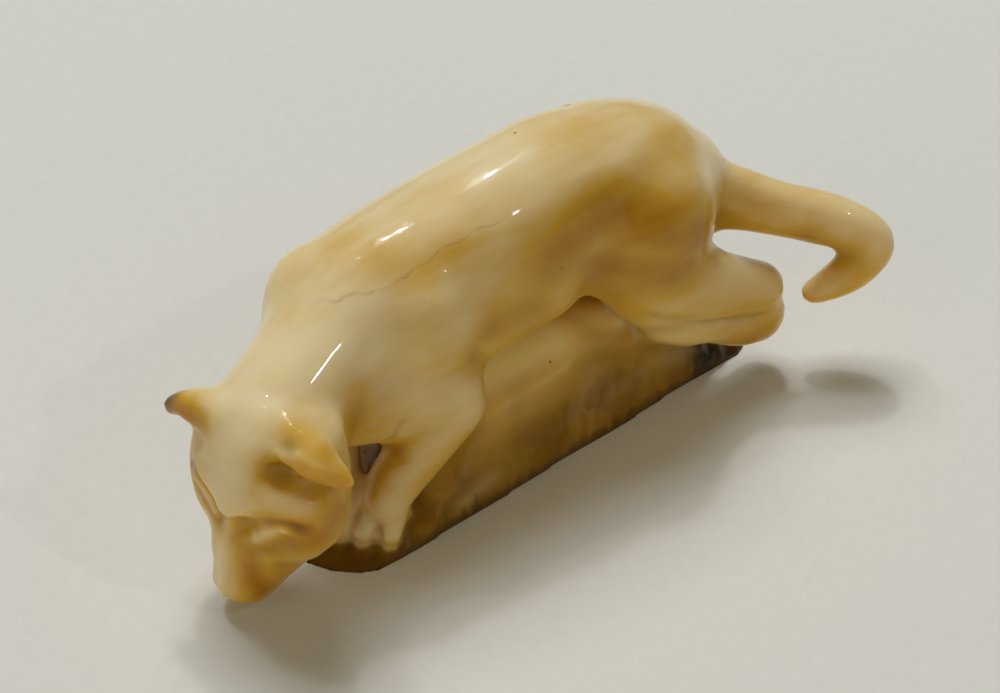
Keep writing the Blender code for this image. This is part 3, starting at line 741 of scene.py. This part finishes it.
# the share for skin facing down is painted shade; clouds and growth lines are the ivory's own uneven stain
WASH_AND_SHADE = {"shade_facing_down": 0.34, "clouds": 0.16, "growth lines": 0.07}
MARKS_SHARE, WASH_AND_SHADE_SHARE = 0.68, 0.9
WORN_AND_LIT_AWAY = 0.9
STAIN_STEPS = ((0.42, HONEY), (0.80, AMBER))
uneven = weighted_sum(LEAST_MARK, (soft["blotches"], BLOTCHED_MARK))
marks = add(tree, "ShaderNodeMath", {0: layers["stain"], 1: uneven}, operation="MULTIPLY").outputs[0]
wash_and_shade = weighted_sum(0.0, *((soft[name], share) for name, share in WASH_AND_SHADE.items()))
stain_and_shade = weighted_sum(0.0, (marks, MARKS_SHARE), (wash_and_shade, WASH_AND_SHADE_SHARE))
stain_and_shade.node.use_clamp = True
# less stain where worn, and where light is painted on the crown and neck
kept = weighted_sum(1.0, (layers["worn_and_lit"], -WORN_AND_LIT_AWAY))
depth = add(tree, "ShaderNodeMath", {0: stain_and_shade, 1: kept}, operation="MULTIPLY").outputs[0]
colour = add(tree, "ShaderNodeValToRGB", {"Fac": depth})
steps = colour.color_ramp.elements
steps[0].position, steps[0].color = 0.0, CREAM
steps[1].position, steps[1].color = 1.0, RUSSET
for position, code in STAIN_STEPS:
    steps.new(position).color = code

# %% Rock colour darker towards the bottom, dark rim, painted light; dirt and painted shade; black ear tip and shade
DARKER_TOWARDS_BOTTOM, BARK_BY_PATCH = 0.75, 0.25
RIM_DARKNESS, DIRT_AND_SHADE_DARKNESS = 0.8, 0.35
# the rock's colour turns darker towards the bottom, with patches from the bark noise
rock_darkening = weighted_sum(0.0, (soft["low"], DARKER_TOWARDS_BOTTOM), (soft["bark"], BARK_BY_PATCH))
rock_darkening.node.use_clamp = True
rim = weighted_sum(0.0, (soft["rim"], RIM_DARKNESS))
# the pale layer paints light onto rock in the body's shade, and lightens a few chips
rock_colour = covered(RUBBED_BARK, (rock_darkening, BARK), (layers["pale"], PALE), (rim, UMBER))
# dirt and painted shade darken the hollows
dirt_and_shade_share = weighted_sum(0.0, (layers["dirt_and_shade"], DIRT_AND_SHADE_DARKNESS))
# the dark layer: the black ear tip, and painted shade under the hind foot
base = covered(
    colour.outputs["Color"], (layers["rock"], rock_colour), (dirt_and_shade_share, UMBER), (layers["dark"], BLACK_OF_TIP_AND_SHADE)
)

# %% A few single specks
SPECK_STRENGTH, SPECK_EDGE, SPECK_CORE = 0.7, 1.4 * MM, 0.5 * MM
SPECKS = (
    # place and radius
    ((8.6, 3.2, 25.9), 0.32),
    ((2.3, 1.9, 26.8), 0.14),
    ((19.9, -3.2, 19.2), 0.14),
    ((0.5, -6.0, 19.4), 0.12),
    ((0.7, -4.6, 9.1), 0.12),
)
for place, radius in SPECKS:
    centre = tuple(c * MM for c in place)
    away = add(tree, "ShaderNodeVectorMath", {0: where, 1: centre}, operation="DISTANCE").outputs["Value"]
    limits = {"Value": away, "From Min": SPECK_EDGE * radius, "From Max": SPECK_CORE * radius}
    spot = add(tree, "ShaderNodeMapRange", limits, **EASED).outputs[0]
    base = covered(base, (weighted_sum(0.0, (spot, SPECK_STRENGTH)), UMBER))
print("specks:", len(SPECKS))

# %% [markdown]
# ## The hair crack
#
# Ivory dries and splits along its growth, and one such hair crack wanders from the neck along the flank. A
# curve node holds its height at each place along the body. The line is where the skin lies at that height,
# pushed up and down a little by noise, faint here and there, and only on the near side.

# %% The crack's course and its line
CRACK = (
    # x and z
    (-21.3, 21.0), (-19.5, 21.8), (-17.6, 22.5), (-14.0, 22.9),
    (-11.0, 23.4), (-7.8, 24.0), (-4.6, 24.6), (-0.6, 24.3),
)
CRACK_START, CRACK_LENGTH, CRACK_RISE = -21.3, 20.7, 25.0
CRACK_HALF_WIDTH, CRACK_CORE = 0.09 * MM, 0.02 * MM
CRACK_SWAY = 0.8 * MM
CRACK_STRENGTH = 0.22
FAINT_FROM, FAINT_TO, FAINTEST = 0.35, 0.60, 0.25
progress = add(tree, "ShaderNodeMapRange", {
    "Value": height["X"],
    "From Min": CRACK_START * MM,
    "From Max": (CRACK_START + CRACK_LENGTH) * MM,
}).outputs[0]
course = add(tree, "ShaderNodeFloatCurve", {"Value": progress})
curve = course.mapping.curves[0]
stops = [((x - CRACK_START) / CRACK_LENGTH, z / CRACK_RISE) for x, z in CRACK]
curve.points[0].location, curve.points[1].location = stops[0], stops[-1]
for stop in stops[1:-1]:
    curve.points.new(*stop)
course.mapping.update()
sway = add(tree, "ShaderNodeMath", {0: noises["crack's course"], 1: -0.5}, operation="ADD").outputs[0]
off_line = weighted_sum(height["Z"], (course.outputs[0], -CRACK_RISE * MM), (sway, CRACK_SWAY))
off_line = add(tree, "ShaderNodeMath", {0: off_line}, operation="ABSOLUTE").outputs[0]
limits = {"Value": off_line, "From Min": CRACK_HALF_WIDTH, "From Max": CRACK_CORE}
crack = add(tree, "ShaderNodeMapRange", limits, **EASED).outputs[0]
gaps = noises["crack's gaps"]
limits = {"Value": gaps, "From Min": FAINT_FROM, "From Max": FAINT_TO, "To Min": FAINTEST}
faint = add(tree, "ShaderNodeMapRange", limits, **EASED).outputs[0]
for narrowing in (soft["crack's start"], soft["crack's end"], soft["near side"], faint):
    crack = add(tree, "ShaderNodeMath", {0: crack, 1: narrowing}, operation="MULTIPLY").outputs[0]
base = covered(base, (weighted_sum(0.0, (crack, CRACK_STRENGTH)), CRACK_BROWN))
print("crack, mm long:", CRACK_LENGTH)

# %% Gloss, depth and fine bump
FINISH = {
    "IOR": 1.54,
    "Subsurface Weight": 0.75,
    "Subsurface Radius": (1.0, 0.72, 0.30),
    "Subsurface Scale": 2.6 * MM,
    "Specular IOR Level": 0.12,
    "Coat Weight": 0.4,
    "Coat Roughness": 0.04,
}
POLISHED, HANDLED, ROCK_DULLNESS, DIRT_DULLNESS = 0.26, 0.12, 0.24, 0.2
GRAIN_HEIGHT, CHIP_HEIGHT, CRACK_HEIGHT = 0.12, 2.5, -0.15
BUMP_STRENGTH, BUMP_DISTANCE = 0.35, 0.12 * MM
roughness = weighted_sum(
    POLISHED,
    (noises["handling"], HANDLED),
    (layers["rock"], ROCK_DULLNESS),
    (layers["dirt_and_shade"], DIRT_DULLNESS),
)
roughness.node.use_clamp = True
chips = noises["chips"]
for narrowing in (layers["rough"], soft["low"]):
    chips = add(tree, "ShaderNodeMath", {0: chips, 1: narrowing}, operation="MULTIPLY").outputs[0]
skin_grain = noises["skin grain"]
surface = weighted_sum(0.0, (skin_grain, GRAIN_HEIGHT), (chips, CHIP_HEIGHT), (crack, CRACK_HEIGHT))
bumps = {"Height": surface, "Strength": BUMP_STRENGTH, "Distance": BUMP_DISTANCE}
tree.links.new(add(tree, "ShaderNodeBump", bumps).outputs[0], shader.inputs["Normal"])
tree.links.new(base, shader.inputs["Base Color"])
tree.links.new(roughness, shader.inputs["Roughness"])
for name, value in FINISH.items():
    shader.inputs[name].default_value = value
print("ivory nodes:", len(tree.nodes))

# %% [markdown]
# ## The relief is made real
#
# A modifier's input is set by its socket's identifier, before the object is first evaluated. The result then
# becomes the carving's own mesh, and its underside is kept flat so that it rests on the ground.

# %% The relief on the carving
SURELY_ROCK = 0.9
relief_step = cat.modifiers.new("Chiselled rock", "NODES")
relief_step.node_group = relief
for item in sockets.items_tree:
    if item.in_out == "INPUT" and item.name in RELIEF_SIZES:
        relief_step[item.identifier] = RELIEF_SIZES[item.name]
    elif item.in_out == "INPUT" and item.name == "Material":
        relief_step[item.identifier] = ivory
before = read_points()
applied(cat)
points = read_points()
depths = np.linalg.norm(points - before, axis=1)
on_the_rock = float(depths[rock > SURELY_ROCK].mean())
print("relief, mm: deepest", round(float(depths.max()), 2), "and on the rock", round(on_the_rock, 2))
points[:, 2] = np.maximum(points[:, 2], 0.0)
write_points(points)

# %% Smooth shading, but flat on the ground
FLAT_DOWN, FLAT_LEVEL = -0.999, 0.05 * MM
cat.data.polygons.foreach_set("use_smooth", [True] * len(cat.data.polygons))
ground_faces = [f for f in cat.data.polygons if f.normal.z < FLAT_DOWN and f.center.z < FLAT_LEVEL]
for face in ground_faces:
    face.use_smooth = False
cat.data.calc_loop_triangles()
print("finished skin:", len(cat.data.loop_triangles), "triangles;", len(ground_faces), "faces lie flat")

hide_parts(CARVING)
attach(cat, "root")

# %% [markdown]
# ## Floor, light and camera
#
# The photograph shows the carving on plain pale paper, seen from its left front and well above. One large
# soft window beyond the carving lights it and throws the shadow towards the viewer. Small bright panes make
# the short gleams on the back and the neck, and two pale walls lift the near side without showing in the
# polish.

# %% Floor
FLOOR_REACH = 1.2
FIBRES_PER_METRE = 900.0
PAPER_SHADE, PAPER_LIGHT = linear("#E4E3DC"), linear("#ECEBE4")
PAPER_ROUGHNESS = 0.9
floor_mesh = bpy.data.meshes.new("floor")
corners = [(x * FLOOR_REACH, y * FLOOR_REACH, 0) for x, y in ((-1, -1), (1, -1), (1, 1), (-1, 1))]
floor_mesh.from_pydata(corners, [], [(0, 1, 2, 3)])
floor = bpy.data.objects.new("floor", floor_mesh)
bpy.context.scene.collection.objects.link(floor)
paper = bpy.data.materials.new("Pale paper")
paper.use_nodes = True
sheet = paper.node_tree
paper_shader = sheet.nodes["Principled BSDF"]
spot = add(sheet, "ShaderNodeTexCoord").outputs["Object"]
pulp = {"Vector": spot, "Scale": FIBRES_PER_METRE, "Detail": 3.0}
fibres = add(sheet, "ShaderNodeTexNoise", pulp).outputs[0]
tones = {"Factor": fibres, "A": PAPER_SHADE, "B": PAPER_LIGHT}
tone = add(sheet, "ShaderNodeMix", tones, data_type="RGBA").outputs[2]
sheet.links.new(tone, paper_shader.inputs["Base Color"])
paper_shader.inputs["Roughness"].default_value = PAPER_ROUGHNESS
floor.data.materials.append(paper)

# %% Lights
MIDDLE = Vector((0.0, 0.0, 0.012))
LIGHTS = (
    # name, direction, distance and size in metres, power in watts, colour, whether it shows in the polish
    ("window", (0.17, 0.42, 0.89), 1.0, 0.50, 4.9, (0.94, 0.985, 1.05), False),
    ("window's middle", (0.28, 0.42, 0.86), 1.0, 0.16, 0.45, (1.0, 1.0, 1.0), True),
    ("bright pane", (0.30, 0.42, 0.86), 1.0, 0.06, 1.0, (1.0, 1.0, 1.0), True),
    ("second pane", (-0.02, 0.40, 0.92), 1.0, 0.04, 0.35, (1.0, 1.0, 1.0), True),
    ("lamp in the room", (0.30, -0.66, 0.69), 0.8, 0.02, 0.30, (1.0, 0.96, 0.88), True),
    ("pale wall", (-0.35, -0.88, 0.32), 0.8, 0.5, 0.6, (1.0, 0.91, 0.68), False),
    ("pale wall on the left", (-0.92, -0.10, 0.38), 0.8, 0.5, 0.7, (1.0, 0.95, 0.80), False),
)
for name, direction, distance, size, power, tint, in_polish in LIGHTS:
    lamp = bpy.data.lights.new(name, "AREA")
    lamp.size = size
    lamp.energy = power
    lamp.color = tint
    holder = bpy.data.objects.new(name, lamp)
    bpy.context.scene.collection.objects.link(holder)
    aim = Vector(direction).normalized()
    holder.location = MIDDLE + aim * distance
    holder.rotation_euler = aim.to_track_quat("Z", "Y").to_euler()
    holder.visible_glossy = in_polish
print("lights:", len(LIGHTS))

# %% The room's own warm light
ROOM_TINT, ROOM_STRENGTH = (1.0, 0.88, 0.58, 1.0), 0.12
world = bpy.data.worlds.new("Studio")
bpy.context.scene.world = world
world.use_nodes = True
room = world.node_tree.nodes["Background"]
room.inputs["Color"].default_value = ROOM_TINT
room.inputs["Strength"].default_value = ROOM_STRENGTH
bpy.context.scene.view_settings.view_transform = "Standard"

# %% Camera
AZIMUTH, ELEVATION = math.radians(-39.0), math.radians(40.0)
DISTANCE = 0.190
FOCAL_LENGTH, NEAREST_SEEN = 86.4, 0.005
TARGET = Vector((-0.0015, -0.001, 0.0095))
along_floor = math.cos(ELEVATION)
back = Vector((math.sin(AZIMUTH) * along_floor, -math.cos(AZIMUTH) * along_floor, math.sin(ELEVATION)))
lens = bpy.data.cameras.new("camera")
lens.lens = FOCAL_LENGTH
lens.clip_start = NEAREST_SEEN
camera = bpy.data.objects.new("camera", lens)
bpy.context.scene.collection.objects.link(camera)
camera.location = TARGET + back * DISTANCE
camera.rotation_euler = (-back).to_track_quat("-Z", "Y").to_euler()
bpy.context.scene.camera = camera
